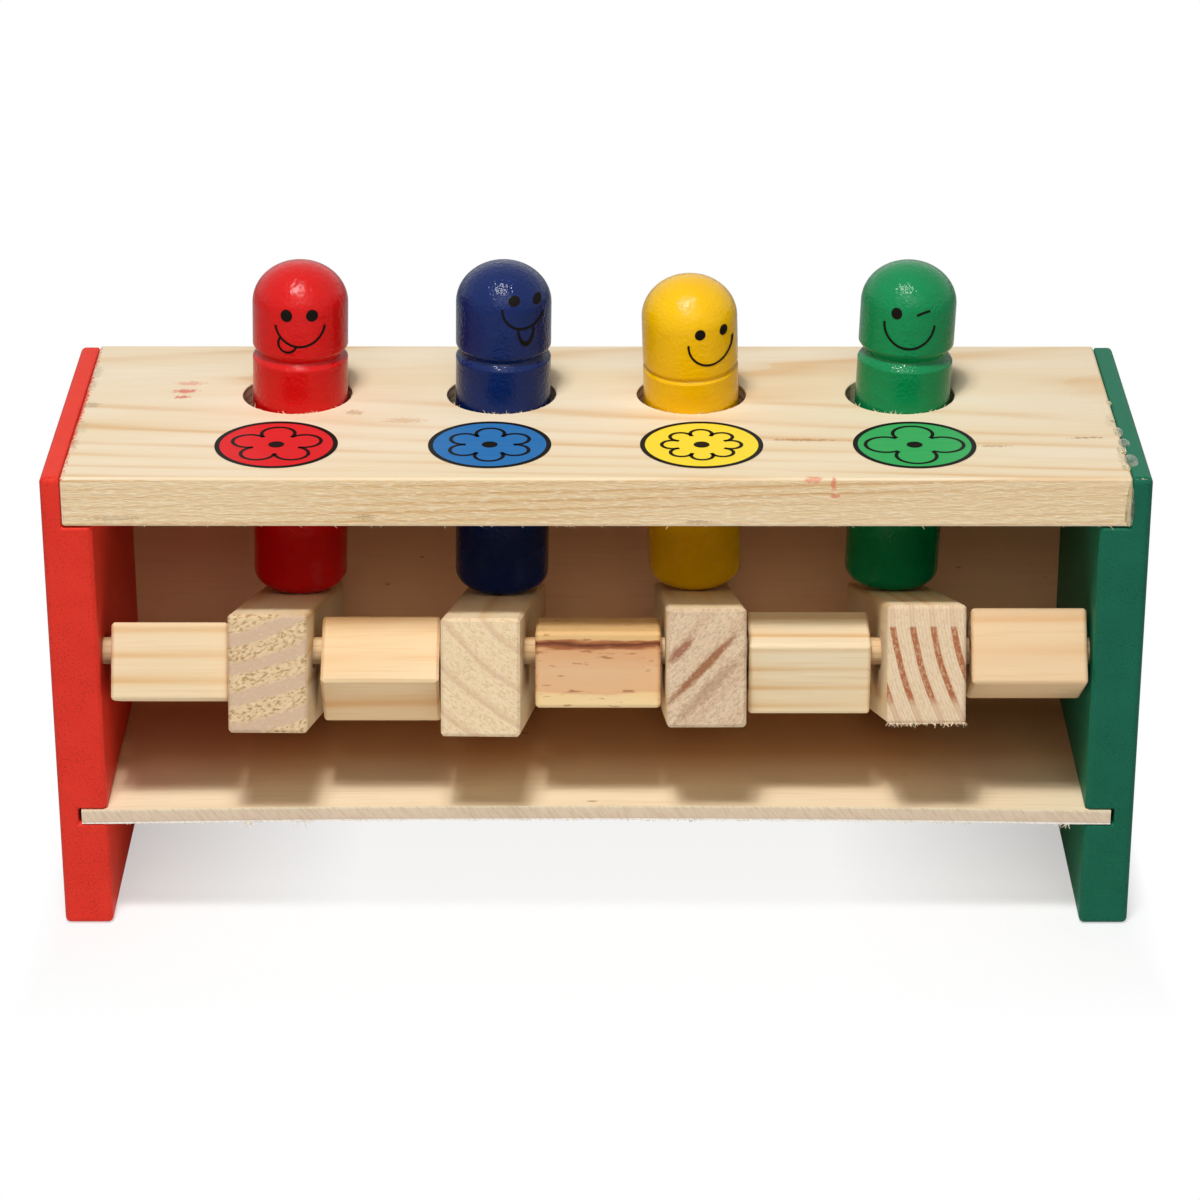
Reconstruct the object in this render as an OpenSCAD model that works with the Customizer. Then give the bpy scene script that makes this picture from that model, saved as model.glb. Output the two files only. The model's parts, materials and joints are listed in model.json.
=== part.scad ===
// Peg pounding bench: four loose pegs stand in a slotted box on four see-saw blocks.
// X runs along the bench, Y from front to rear, Z up. The origin is on the table, at the
// middle of the whole bench.

/* [Bench] */
// Width of the bench over both end panels
bench_w = 220; // [204:1:250]
// Depth of the end panels and of the top board, front to rear
bench_d = 73.5; // [66:0.5:84]
// Height of the end panels
bench_h = 100; // [95:0.5:110]

/* [End panels] */
// Thickness of an end panel
panel_t = 10; // [9:0.5:14]
// Thickness of the lip left outside the top board
lip_t = 4; // [2.5:0.1:5]
// Bevel along the edges of an end panel
panel_edge = 0.8; // [0.4:0.1:1.2]
// Depth of the grooves and dowel sockets in an end panel
socket_deep = 6; // [4:0.5:7]

/* [Top board] */
// Thickness of the top board
board_t = 10.4; // [8:0.2:13]
// Diameter of a peg hole
hole_d = 22.6; // [22.2:0.1:24]
// Distance from an end panel to the middle of the peg hole nearest to it
hole_margin = 37.6; // [32:0.2:40]
// Distance from the middle of the peg holes to the back panel
hole_to_back = 20.9; // [18:0.1:23]

/* [Shelf and back] */
// Thickness of the plywood of the shelf and the back panel
ply_t = 3.2; // [2.6:0.1:4]
// Height of the shelf's underside above the table
shelf_h = 23.3; // [18:0.1:24]
// Distance from the rear edge to the back panel
back_inset = 3.8; // [2:0.1:6]

/* [Dowel] */
// Diameter of the pivot dowel
dowel_d = 5.5; // [4.5:0.1:6]
// Height of the dowel's middle above the table
dowel_h = 58.2; // [56:0.1:60]
// Distance from the front edge to the dowel's middle
dowel_from_front = 9.2; // [8:0.2:9.6]

/* [Rocker blocks] */
// Width of a rocker block along the dowel
rocker_w = 16; // [13:0.5:17]
// Height of a rocker block
rocker_h = 24; // [22:0.5:26]
// Gap that a rocker block's rear end keeps to the back panel as it swings
rocker_clear = 1.2; // [1:0.1:6]
// Distance from a rocker's front face to the middle of its bore
rocker_bore_back = 12.5; // [11:0.5:16]
// Height of the middle of the bore above a rocker's underside
rocker_bore_up = 14.5; // [12:0.5:15]
// Diameter of the loose bores in the rockers and spacers
bore_d = 6.7; // [6.2:0.1:7.5]
// Bevel along the edges of the rockers and spacers
block_edge = 0.6; // [0.3:0.1:1]

/* [Spacer blocks] */
// Side of a spacer's square section
spacer_side = 15.8; // [12:0.2:16.2]
// Free play along the dowel on each side of a spacer
spacer_play = 1.5; // [1.3:0.1:2]

/* [Pegs] */
// Diameter of a peg
peg_d = 19.6; // [19:0.1:20.4]
// Length of a peg over its dome
peg_l = 71; // [64:0.5:80]
// Height of the dome on a peg
dome_h = 8.5; // [6:0.1:10]
// Rounding of a peg's foot
foot_round = 3; // [1:0.1:4]
// Distance from the top of a peg down to its neck groove
neck_from_top = 18.8; // [15:0.1:22]

/* [Hidden] */

// Clearances
glue_gap = 0.1;
seat_gap = 0.4;
groove_play = 0.4;
side_play = 0.7;
socket_gap = 0.05;
hang_gap = 0.05;
rest_gap = 0.2;
cut_over = 1;

// Hand-drilled drift of each peg hole, as a share of the pitch
hole_drift_shares = [0.012, 0.028, -0.027, 0.012];
// Where each peg's middle line crosses the board's upper and lower face, as shares of the
// play between peg and hole: [upper x, upper y, lower x, lower y]
peg_lean_shares = [
    [0.38, -0.89, 0.18, -0.84],
    [0.16, -0.93, 0.05, -0.84],
    [-0.10, -0.92, 0.12, -0.16],
    [0.21, -0.86, -0.02, -0.94]
];
// Length of each peg and depth of its neck groove, as shares of the length and the radius
peg_length_shares = [1, 1.005, 0.975, 0.985];
neck_deep_shares = [0.10, 0.10, 0.06, 0.13];
neck_slope = 1.5;
// Turn of each rocker's bore to its block, and of each spacer about the dowel, in degrees
rocker_turns = [2.7, 3.6, -1.5, -3.7];
spacer_turns = [26.4, 57.4, 13.7, -1.5, 36.6];
// Drift of each rocker's bore up its block, and of the block from its peg along the dowel, as
// shares of the block's height and width
bore_up_shares = [0.01, 0.035, -0.03, -0.055];
rocker_shift_shares = [-0.07, -0.01, 0, 0.09];
// How far the middle of each spacer hangs below its bore, as a share of its side
spacer_drop_shares = [0.13, 0.22, 0.13, 0.13, 0];
// How far each spacer stands to the right in its free stretch, as a share of its play
spacer_shift_shares = [0.4, 0.2, 0.45, -0.4, 0.4];

$fn = 96;
arc_steps = 12;
peg_count = 4;
pegs = [0:peg_count - 1];
peg_colors = ["#CE1F1F", "#1B2F6E", "#F2BE0E", "#169150"];
pine = "#EBD6AE";
ply = "#E9D7B6";
end_grain = "#DCC4A0";

// Places that follow from the driving sizes
inner_w = bench_w - 2 * panel_t;
board_under = bench_h - board_t;
hole_pitch = (inner_w - 2 * hole_margin) / (peg_count - 1);
shelf_top = shelf_h + ply_t;
ply_w = inner_w + 2 * (socket_deep - side_play);
back_front = bench_d - back_inset - ply_t;
rocker_sweep = back_front - dowel_from_front - rocker_clear;
rocker_l = rocker_bore_back + sqrt(rocker_sweep ^ 2 - rocker_bore_up ^ 2);
hang = (bore_d - dowel_d) / 2 - hang_gap;
pivot_h = dowel_h - hang;
play = (hole_d - peg_d) / 2;

// Height of a rocker's bore above its underside
function bore_up(i) = rocker_bore_up + bore_up_shares[i] * rocker_h;
// Corner of a rocker's underside that comes down on the shelf, measured from its bore
function heel_back(i) =
    (rocker_l - rocker_bore_back - block_edge) * cos(rocker_turns[i])
    + (rocker_w / 2 - block_edge) * abs(sin(rocker_turns[i]));
// Tilt of a rocker when its heel rests on the shelf
function rest_tilt(i) =
    asin((pivot_h - shelf_top - rest_gap) / norm([heel_back(i), bore_up(i)]))
    - atan2(bore_up(i), heel_back(i));
// How far a rocker's lower front edge stands out in front of the panels
function reach(i) =
    (rocker_bore_back * cos(rocker_turns[i]) + rocker_w / 2 * abs(sin(rocker_turns[i])))
    * cos(rest_tilt(i)) + bore_up(i) * sin(rest_tilt(i)) - dowel_from_front;
front_reach = max([for (i = pegs) reach(i)]);

// Front edge of the panels, and the other places behind it
front_y = (front_reach - bench_d) / 2;
hole_y = front_y + back_front - hole_to_back;
pivot_y = front_y + dowel_from_front;
function hole_x(i) = (i - (peg_count - 1) / 2 + hole_drift_shares[i]) * hole_pitch;

// Line of a peg: the point in the board's upper face, and the direction up the peg
function lean_top(i) =
    [hole_x(i) + peg_lean_shares[i][0] * play, hole_y + peg_lean_shares[i][1] * play, bench_h];
function lean_low(i) =
    [hole_x(i) + peg_lean_shares[i][2] * play, hole_y + peg_lean_shares[i][3] * play, board_under];
function unit(v) = v / norm(v);
function peg_line(i) = unit(lean_top(i) - lean_low(i));

// A rocker's top face, as a point on it and its normal, and the foot of the peg standing on it
function top_normal(i) = [0, sin(rest_tilt(i)), cos(rest_tilt(i))];
function top_point(i) = [0, pivot_y, pivot_h] + (rocker_h - bore_up(i)) * top_normal(i);
function foot_tip(i) =
    (peg_d / 2 - foot_round) * norm(cross(top_normal(i), peg_line(i))) + foot_round + rest_gap;
function foot_drop(i) =
    ((lean_top(i) - top_point(i)) * top_normal(i) - foot_tip(i)) / (peg_line(i) * top_normal(i));
function peg_foot(i) = lean_top(i) - (foot_drop(i) + foot_round) * peg_line(i);

// Each rocker points close to the foot of its own peg
function rocker_x(i) =
    peg_foot(i)[0] - (peg_foot(i)[1] - pivot_y) * tan(rocker_turns[i])
    + rocker_shift_shares[i] * rocker_w;
// Free stretch of dowel that each spacer sits in
function space_from(k) = k == 0 ? -inner_w / 2 : rocker_x(k - 1) + rocker_w / 2;
function space_to(k) = k == peg_count ? inner_w / 2 : rocker_x(k) - rocker_w / 2;

// A rectangle whose corners are cut by c
function cut_rect(w, h, c) = [
    [c - w / 2, -h / 2], [w / 2 - c, -h / 2], [w / 2, c - h / 2], [w / 2, h / 2 - c],
    [w / 2 - c, h / 2], [c - w / 2, h / 2], [-w / 2, h / 2 - c], [-w / 2, c - h / 2]
];

// A block centred on the origin, with all its edges bevelled by c
module bevelled_block(size, c) {
    intersection() {
        linear_extrude(size.z, center = true) polygon(cut_rect(size.x, size.y, c));
        rotate([90, 0, 0]) linear_extrude(size.y, center = true) polygon(cut_rect(size.x, size.z, c));
        rotate([90, 0, 90]) linear_extrude(size.x, center = true) polygon(cut_rect(size.y, size.z, c));
    }
}

// A box given by its low and high corner
module span_box(low, high) {
    translate(low) cube(high - low);
}

// An end panel, drawn on the left side: rabbet for the board, grooves and dowel socket
module end_panel() {
    inner = -inner_w / 2;
    over = [cut_over, cut_over, cut_over];
    difference() {
        translate([inner - panel_t / 2, front_y + bench_d / 2, bench_h / 2])
            bevelled_block([panel_t, bench_d, bench_h], panel_edge);
        span_box(
            [lip_t - bench_w / 2, front_y, board_under - seat_gap] - [0, cut_over, 0],
            [inner, front_y + bench_d, bench_h] + over
        );
        span_box(
            [inner - socket_deep, front_y - cut_over, shelf_h - groove_play / 2],
            [inner + cut_over, front_y + bench_d + cut_over, shelf_top + groove_play / 2]
        );
        span_box(
            [inner - socket_deep, front_y + back_front - groove_play / 2, shelf_h],
            [inner + cut_over, front_y + back_front + ply_t + groove_play / 2, bench_h]
        );
        translate([inner - socket_deep, pivot_y, dowel_h]) rotate([0, 90, 0])
            cylinder(h = socket_deep + cut_over, d = dowel_d + 2 * socket_gap);
    }
}

module left_end_panel() {
    color("#DF3A30") end_panel();
}

module right_end_panel() {
    color("#1F6A50") mirror([1, 0, 0]) end_panel();
}

module top_board() {
    color(pine) difference() {
        translate([0, front_y + bench_d / 2, bench_h - board_t / 2])
            bevelled_block([bench_w - 2 * (lip_t + glue_gap), bench_d, board_t], panel_edge / 2);
        for (i = pegs)
            translate([hole_x(i), hole_y, board_under - cut_over])
                cylinder(h = board_t + 2 * cut_over, d = hole_d);
    }
}

module shelf() {
    color(ply) span_box(
        [-ply_w / 2, front_y, shelf_h],
        [ply_w / 2, front_y + bench_d, shelf_top]
    );
}

module back_panel() {
    color(ply) span_box(
        [-ply_w / 2, front_y + back_front, shelf_top + glue_gap],
        [ply_w / 2, front_y + back_front + ply_t, board_under - glue_gap]
    );
}

module pivot_dowel() {
    length = inner_w + 2 * (socket_deep - side_play);
    color(pine) translate([-length / 2, pivot_y, dowel_h]) rotate([0, 90, 0])
        cylinder(h = length, d = dowel_d);
}

// A loose bore along the dowel, centred on the pivot
module loose_bore(length) {
    rotate([0, 90, 0]) cylinder(h = length, d = bore_d, center = true);
}

module rocker(i) {
    middle = [0, rocker_l / 2 - rocker_bore_back, rocker_h / 2 - bore_up(i)];
    color(end_grain) translate([rocker_x(i), pivot_y, pivot_h]) rotate([-rest_tilt(i), 0, 0])
        difference() {
            rotate([0, 0, -rocker_turns[i]]) translate(middle)
                bevelled_block([rocker_w, rocker_l, rocker_h], block_edge);
            loose_bore(2 * rocker_w);
        }
}

module spacer(k) {
    from = space_from(k) + (1 + spacer_shift_shares[k]) * spacer_play;
    to = space_to(k) - (1 - spacer_shift_shares[k]) * spacer_play;
    drop = [0, 0, -spacer_drop_shares[k] * spacer_side];
    color(pine) translate([(from + to) / 2, pivot_y, pivot_h])
        difference() {
            translate(drop) rotate([-spacer_turns[k], 0, 0])
                bevelled_block([to - from, spacer_side, spacer_side], block_edge);
            loose_bore(to - from + 2 * cut_over);
        }
}

// Half outline of a peg: rounded foot, neck groove and low dome
function peg_outline(l, neck_deep) = let (
    r = peg_d / 2,
    neck = l - neck_from_top,
    step = 90 / arc_steps
) concat(
    [[0, 0]],
    [for (s = [0:arc_steps])
        [r - foot_round + foot_round * sin(s * step), foot_round - foot_round * cos(s * step)]],
    [
        [r, neck - neck_deep * neck_slope],
        [r - neck_deep, neck],
        [r, neck + neck_deep * neck_slope]
    ],
    [for (s = [0:arc_steps]) [r * cos(s * step), l - dome_h + dome_h * sin(s * step)]]
);

module peg(i) {
    tilt = acos(peg_line(i).z);
    color(peg_colors[i]) translate(peg_foot(i)) rotate(a = tilt, v = cross([0, 0, 1], peg_line(i)))
        rotate_extrude()
            polygon(peg_outline(peg_l * peg_length_shares[i], neck_deep_shares[i] * peg_d / 2));
}

left_end_panel();
right_end_panel();
top_board();
shelf();
back_panel();
pivot_dowel();
rocker(0);  // rocker_red
rocker(1);  // rocker_blue
rocker(2);  // rocker_yellow
rocker(3);  // rocker_green
spacer(0);  // spacer_1
spacer(1);  // spacer_2
spacer(2);  // spacer_3
spacer(3);  // spacer_4
spacer(4);  // spacer_5
peg(0);  // peg_red
peg(1);  // peg_blue
peg(2);  // peg_yellow
peg(3);  // peg_green
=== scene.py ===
import json
from functools import partial
from math import atan2, cos, pi, radians, sin, sqrt, tau
from random import Random

import bmesh
import bpy
from mathutils import Euler, Matrix, Vector


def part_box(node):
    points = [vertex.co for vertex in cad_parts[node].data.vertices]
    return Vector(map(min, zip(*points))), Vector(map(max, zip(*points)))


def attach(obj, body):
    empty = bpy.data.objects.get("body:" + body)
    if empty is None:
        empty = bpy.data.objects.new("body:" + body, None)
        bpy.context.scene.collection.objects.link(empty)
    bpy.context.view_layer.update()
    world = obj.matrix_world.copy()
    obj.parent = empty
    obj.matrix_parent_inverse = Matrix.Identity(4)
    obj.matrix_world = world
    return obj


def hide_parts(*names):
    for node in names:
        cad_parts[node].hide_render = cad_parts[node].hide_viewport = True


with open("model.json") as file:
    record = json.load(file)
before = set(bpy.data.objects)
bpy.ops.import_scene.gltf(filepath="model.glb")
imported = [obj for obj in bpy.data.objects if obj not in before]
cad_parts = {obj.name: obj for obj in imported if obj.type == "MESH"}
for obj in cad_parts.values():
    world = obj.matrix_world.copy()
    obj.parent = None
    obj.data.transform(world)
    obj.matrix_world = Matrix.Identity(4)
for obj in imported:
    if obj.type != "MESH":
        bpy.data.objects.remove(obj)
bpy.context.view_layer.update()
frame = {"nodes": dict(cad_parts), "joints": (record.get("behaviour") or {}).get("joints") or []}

# The peg bench: pine board, painted end panels, plywood, loose pine blocks and gloss pegs.
# Sizes are real millimetres times MM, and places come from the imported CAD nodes.
MM = 0.001
COLOURS = ("red", "blue", "yellow", "green")
BOARD_LOW, BOARD_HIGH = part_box("top_board")
SHELF_LOW, SHELF_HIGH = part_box("shelf")
BACK_LOW, BACK_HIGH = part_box("back_panel")
HALF_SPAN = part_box("right_end_panel")[0].x

INK_FILM = 0.05 * MM
PRINT_RADIUS = 12.4 * MM
PRINT_FROM_FRONT = 17.5 * MM
PRINT_ACROSS = {"red": -64.3 * MM, "blue": -21.4 * MM, "yellow": 21.2 * MM, "green": 64.0 * MM}
HOLE_RADIUS = 11.3 * MM
HOLE_PLACES = {
    "red": (-61.9 * MM, 12.76 * MM),
    "blue": (-19.64 * MM, 12.76 * MM),
    "yellow": (19.68 * MM, 12.76 * MM),
    "green": (62.9 * MM, 12.76 * MM),
}

PEG_RADIUS = 9.8 * MM
PEG_DOME = 8.5 * MM
PEG_FOOT_ROUND = 3 * MM
NECK_FROM_TOP = 18.8 * MM
NECK_DEPTH = {"red": 1.0 * MM, "blue": 1.0 * MM, "yellow": 0.6 * MM, "green": 1.3 * MM}
# The groove's half width in depths, how much deeper its sharp V would be, and its roundness.
NECK_SLOPE = 1.5
NECK_SHARP = 1.15
NECK_BOTTOM_ROUND = 0.004
NECK_SHOULDER = 0.15 * MM


def srgb(code):
    """A sRGB hex value as the linear colour that Blender's sockets take."""
    parts = [int(code[i:i + 2], 16) / 255 for i in (1, 3, 5)]
    return [v / 12.92 if v <= 0.04045 else ((v + 0.055) / 1.055) ** 2.4 for v in parts] + [1.0]


def add_node(tree, kind, feed=None, stops=None, **settings):
    """Adds a shader node, sets its properties and ramp stops, and feeds its sockets.

    A socket is fed a value, another socket, or a node, which stands for its first live output.
    """
    node = tree.nodes.new("ShaderNode" + kind)
    for name, value in settings.items():
        setattr(node, name, value)
    if stops:
        ramp = node.color_ramp
        ramp.elements.remove(ramp.elements[1])
        ramp.elements[0].position = stops[0][0]
        ramp.elements[0].color = stops[0][1]
        for place, colour in stops[1:]:
            ramp.elements.new(place).color = colour
    for socket, value in (feed or {}).items():
        if isinstance(value, bpy.types.Node):
            value = next(output for output in value.outputs if output.enabled)
        if isinstance(value, bpy.types.NodeSocket):
            tree.links.new(value, node.inputs[socket])
        else:
            node.inputs[socket].default_value = value
    return node


def new_material(name):
    """An empty material, what adds nodes to it, and the place on the object in metres."""
    material = bpy.data.materials.new(name)
    material.use_nodes = True
    material.node_tree.nodes.clear()
    put = partial(add_node, material.node_tree)
    return material, put, put("TexCoord").outputs["Object"]


def grey(level):
    """A grey ramp colour."""
    return (level, level, level, 1)


# How far the grain pushes a stain's outline, and where its rim begins and ends with that.
FRAY = 2.6
RIM = (1.85, 2.35)


def add_stain(put, place, grain, colour, stain, axis=2):
    """Lays a stain over a colour: an oval that leans about an axis, its rim frayed by grain."""
    centre, half, lean, tone, strength = stain
    turn = [0.0, 0.0, 0.0]
    turn[axis] = radians(lean)
    oval = put("Mapping", {"Vector": place, "Location": [v * MM for v in centre], "Rotation": turn,
                           "Scale": [v * MM for v in half]}, vector_type="TEXTURE")
    off = put("VectorMath", {0: oval}, operation="LENGTH")
    frayed = put("Math", {0: grain, 1: FRAY, 2: off}, operation="MULTIPLY_ADD")
    share = put("MapRange", {"Value": frayed, "From Min": RIM[0], "From Max": RIM[1],
                             "To Min": strength, "To Max": 0.0})
    return put("Mix", {0: share, 6: colour, 7: srgb(tone)}, data_type="RGBA")


# A ring wave of Scale 1 comes again after this many metres.
RING_WAVE = tau / 20
# A tree grows almost straight, so its rings are drawn out this many times along the grain.
GROWTH = 9
# How slowly the rings waver, over about 14 mm: the Detail Scale is a ring's width over this.
WAVER = 0.314 * 14


def add_rings(put, place, pith, turn, wood):
    """The growth rings round the pith: the place among them, and a share that rises each year."""
    grown = put("Mapping", {"Vector": place, "Location": pith, "Rotation": turn,
                            "Scale": (GROWTH, 1, 1)}, vector_type="TEXTURE")
    rings = put("TexWave", {"Vector": grown, "Scale": RING_WAVE / (wood["ring"] * MM),
                            "Distortion": wood.get("swing", 0.6) * tau, "Detail": 2.0,
                            "Detail Scale": wood["ring"] / WAVER, "Detail Roughness": 0.4},
                wave_type="RINGS", rings_direction="X", wave_profile="SAW").outputs["Fac"]
    return grown, rings


def pine(name, seat, wood, tones, rough=0.62, bump=0.12, fleck=0.35, torn=False, stains=()):
    """Planed or sawn pine, unfinished: pale wood between narrow orange lines of late wood.

    seat is the piece's own frame with X along the grain. wood gives where the growth rings are
    centred and how wide they are, in millimetres. The eye sees soft bands with one sharp side,
    faint silky fibres along the grain and no gloss. Torn wood has short woolly fibres instead.
    """
    material, put, place = new_material(name)
    pith = seat @ Vector((0, wood["pith"][0] * MM, wood["pith"][1] * MM))
    turn = (seat.to_3x3() @ Matrix.Rotation(radians(wood.get("lean", 0)), 3, "Y")).to_euler()
    along, rings = add_rings(put, place, pith, turn, wood)
    late = put("ValToRGB", {"Fac": rings}, stops=[(0.0, grey(0.5)), (0.12, grey(0.08)),
                                                  (0.4, grey(0.0)), (0.7, grey(0.3)),
                                                  (0.9, grey(1.0)), (1.0, grey(0.8))])
    # Some years are faint: a slow noise across the rings changes how dark their lines are.
    years = put("TexNoise", {"Vector": along, "Scale": 1 / (9 * MM), "Detail": 1.0})
    share = put("MapRange", {"Value": years, "From Min": 0.38, "From Max": 0.62,
                             "To Min": 0.16, "To Max": 0.8})
    dark = put("Math", {0: late, 1: share}, operation="MULTIPLY")
    clouds = put("TexNoise", {"Vector": along, "Scale": 1 / (15 * MM), "Detail": 3.0})
    patches = put("MapRange", {"Value": clouds, "From Min": 0.35, "From Max": 0.65})
    ground = put("Mix", {0: patches, 6: srgb(tones[0]), 7: srgb(tones[1])}, data_type="RGBA")
    ringed = put("Mix", {0: dark, 6: ground, 7: srgb(tones[2])}, data_type="RGBA")
    # Fibres are 0.05 mm in the real wood and are drawn 0.3 mm wide so that they show.
    fine = put("Mapping", {"Vector": place, "Location": pith, "Rotation": turn,
                           "Scale": (5 if torn else 30, 1, 1)}, vector_type="TEXTURE")
    fibre = put("TexNoise", {"Vector": fine, "Scale": 1 / ((0.4 if torn else 0.6) * MM),
                             "Detail": 3.0})
    streak = put("MapRange", {"Value": fibre, "From Min": 0.5, "From Max": 0.72, "To Max": fleck})
    colour = put("Mix", {0: streak, 6: ringed, 7: srgb(tones[3])}, data_type="RGBA")
    if stains:
        fray = put("TexNoise", {"Vector": place, "Scale": 1 / (0.8 * MM), "Detail": 3.0,
                                "Roughness": 0.65})
    for stain in stains:
        colour = add_stain(put, place, fray, colour, stain)
    relief = put("Bump", {"Strength": bump, "Distance": (0.3 if torn else 0.15) * MM,
                          "Height": fibre})
    shader = put("BsdfPrincipled", {"Base Color": colour, "Roughness": rough, "IOR": 1.5,
                                    "Normal": relief, "Specular IOR Level": 0.25})
    put("OutputMaterial", {"Surface": shader})
    return material


def end_grain(name, seat, wood, tones, band=(0.62, 0.7, 0.93, 1.0), contrast=0.85, pores=0.5,
              pore_size=0.8, fade_above=None, smooth_late=0.0, stripes=()):
    """Pine cut across: the growth rings show as bands, brown and porous where the saw tore them.

    band says at which shares of a ring the dark wood starts, is full, is still full and ends.
    smooth_late says how much of the pits the dark wood lacks. stripes are single lines of dark
    wood, in the block's own frame. The eye sees wide bands of pale and brown wood, pitted by the
    saw, with pale torn fibres between the pits and no gloss.
    """
    material, put, place = new_material(name)
    pith = seat @ Vector((0, wood["pith"][0] * MM, wood["pith"][1] * MM))
    turn = seat.to_3x3().to_euler()
    across, rings = add_rings(put, place, pith, turn, wood)
    late = put("ValToRGB", {"Fac": rings}, stops=[(band[0], grey(0.0)), (band[1], grey(1.0)),
                                                  (band[2], grey(1.0)), (band[3], grey(0.1))])
    # Torn fibre bundles, 0.4 to 0.8 mm across, break the bands up. They are drawn out along the
    # rings where the block is.
    swung = seat.to_3x3() @ Matrix.Rotation(atan2(-wood["pith"][0], wood["pith"][1]), 3, "X")
    pulled = put("Mapping", {"Vector": place, "Location": pith, "Rotation": swung.to_euler(),
                             "Scale": (GROWTH, 1.9, 1)}, vector_type="TEXTURE")
    torn = put("TexNoise", {"Vector": pulled, "Scale": 1 / (pore_size * MM), "Detail": 4.0,
                            "Roughness": 0.75})
    broken = put("MapRange", {"Value": torn, "From Min": 0.36, "From Max": 0.56, "To Min": 0.45,
                              "To Max": contrast})
    dark = put("Math", {0: late, 1: broken}, operation="MULTIPLY")
    own = put("Mapping", {"Vector": place, "Location": seat.translation, "Rotation": turn},
              vector_type="TEXTURE")
    if fade_above is not None:
        # The bands stop short of the upper edge and grow faint at the lower one.
        height = put("SeparateXYZ", {"Vector": own}).outputs["Z"]
        sanded = put("MapRange", {"Value": height, "From Min": fade_above * MM,
                                  "From Max": (fade_above + 0.4) * MM, "To Min": 1.0,
                                  "To Max": 0.15})
        torn_off = put("MapRange", {"Value": height, "From Min": -fade_above * 1.15 * MM,
                                    "From Max": -fade_above * 0.85 * MM, "To Min": 0.3,
                                    "To Max": 1.0})
        kept = put("Math", {0: sanded, 1: torn_off}, operation="MULTIPLY")
        dark = put("Math", {0: dark, 1: kept}, operation="MULTIPLY")
    clouds = put("TexNoise", {"Vector": across, "Scale": 1 / (6 * MM), "Detail": 2.0})
    ground = put("Mix", {0: clouds, 6: srgb(tones[0]), 7: srgb(tones[1])}, data_type="RGBA")
    ringed = put("Mix", {0: dark, 6: ground, 7: srgb(tones[2])}, data_type="RGBA")
    # Faint lines follow the rings, six to a year.
    lines = put("TexWave", {"Vector": across, "Scale": RING_WAVE / (wood["ring"] / 6 * MM),
                            "Distortion": 5.0, "Detail": 2.0, "Detail Scale": 0.35},
                wave_type="RINGS", rings_direction="X").outputs["Fac"]
    faint = put("MapRange", {"Value": lines, "From Min": 0.55, "From Max": 1.0, "To Max": 0.16})
    ringed = put("Mix", {0: faint, 6: ringed, 7: srgb(tones[2])}, data_type="RGBA")
    if stripes:
        fray = put("MapRange", {"Value": torn, "To Min": 0.34, "To Max": 0.66})
    for stripe in stripes:
        ringed = add_stain(put, own, fray, ringed, stripe, axis=0)
    open_wood = put("Math", {0: late, 1: -smooth_late, 2: 1.0}, operation="MULTIPLY_ADD")
    holes = put("MapRange", {"Value": torn, "From Min": 0.4, "From Max": 0.5, "To Min": pores,
                             "To Max": 0.0})
    pits = put("Math", {0: holes, 1: open_wood}, operation="MULTIPLY")
    pitted = put("Mix", {0: pits, 6: ringed, 7: srgb(tones[3])}, data_type="RGBA")
    tufts = put("MapRange", {"Value": torn, "From Min": 0.55, "From Max": 0.7,
                             "To Max": 0.15 + pores * 0.3})
    colour = put("Mix", {0: tufts, 6: pitted, 7: srgb("#F2E2C4")}, data_type="RGBA")
    relief = put("Bump", {"Strength": 0.5, "Distance": 0.35 * MM, "Height": torn})
    shader = put("BsdfPrincipled", {"Base Color": colour, "Roughness": 0.85, "IOR": 1.5,
                                    "Normal": relief, "Specular IOR Level": 0.15})
    put("OutputMaterial", {"Surface": shader})
    return material


def bark_pine(name, seat):
    """Pine from the edge of the trunk: a torn red-brown bark seam, pink wood and a pale band."""
    material, put, place = new_material(name)
    turn = seat.to_3x3().to_euler()
    own = put("Mapping", {"Vector": place, "Location": seat.translation, "Rotation": turn},
              vector_type="TEXTURE")
    along = put("Mapping", {"Vector": own, "Scale": (0.16, 1, 1)})
    sway = put("TexNoise", {"Vector": along, "Scale": 1 / (2.2 * MM), "Detail": 4.0,
                            "Roughness": 0.6})
    height = put("SeparateXYZ", {"Vector": own}).outputs["Z"]
    share = put("MapRange", {"Value": height, "From Min": -8 * MM, "From Max": 8 * MM})
    swayed = put("Math", {0: sway, 1: 0.2, 2: share}, operation="MULTIPLY_ADD")
    zones = put("ValToRGB", {"Fac": swayed}, stops=[(0.0, srgb("#EDD2A0")), (0.29, srgb("#E9C892")),
                                                    (0.33, srgb("#DDAE80")), (0.6, srgb("#DDB388")),
                                                    (0.85, srgb("#D5A172")),
                                                    (0.875, srgb("#A5643E")),
                                                    (0.93, srgb("#64301C")),
                                                    (0.97, srgb("#A8683E")),
                                                    (1.0, srgb("#DDB47A"))])
    short = put("Mapping", {"Vector": own, "Scale": (0.2, 1, 1)})
    dashes = put("TexNoise", {"Vector": short, "Scale": 1 / (0.8 * MM), "Detail": 2.0})
    marks = put("MapRange", {"Value": dashes, "From Min": 0.62, "From Max": 0.7, "To Max": 0.7})
    colour = put("Mix", {0: marks, 6: zones, 7: srgb("#9A6238")}, data_type="RGBA")
    relief = put("Bump", {"Strength": 0.4, "Distance": 0.3 * MM, "Height": sway})
    shader = put("BsdfPrincipled", {"Base Color": colour, "Roughness": 0.65, "IOR": 1.5,
                                    "Normal": relief, "Specular IOR Level": 0.25})
    put("OutputMaterial", {"Surface": shader})
    return material


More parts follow.
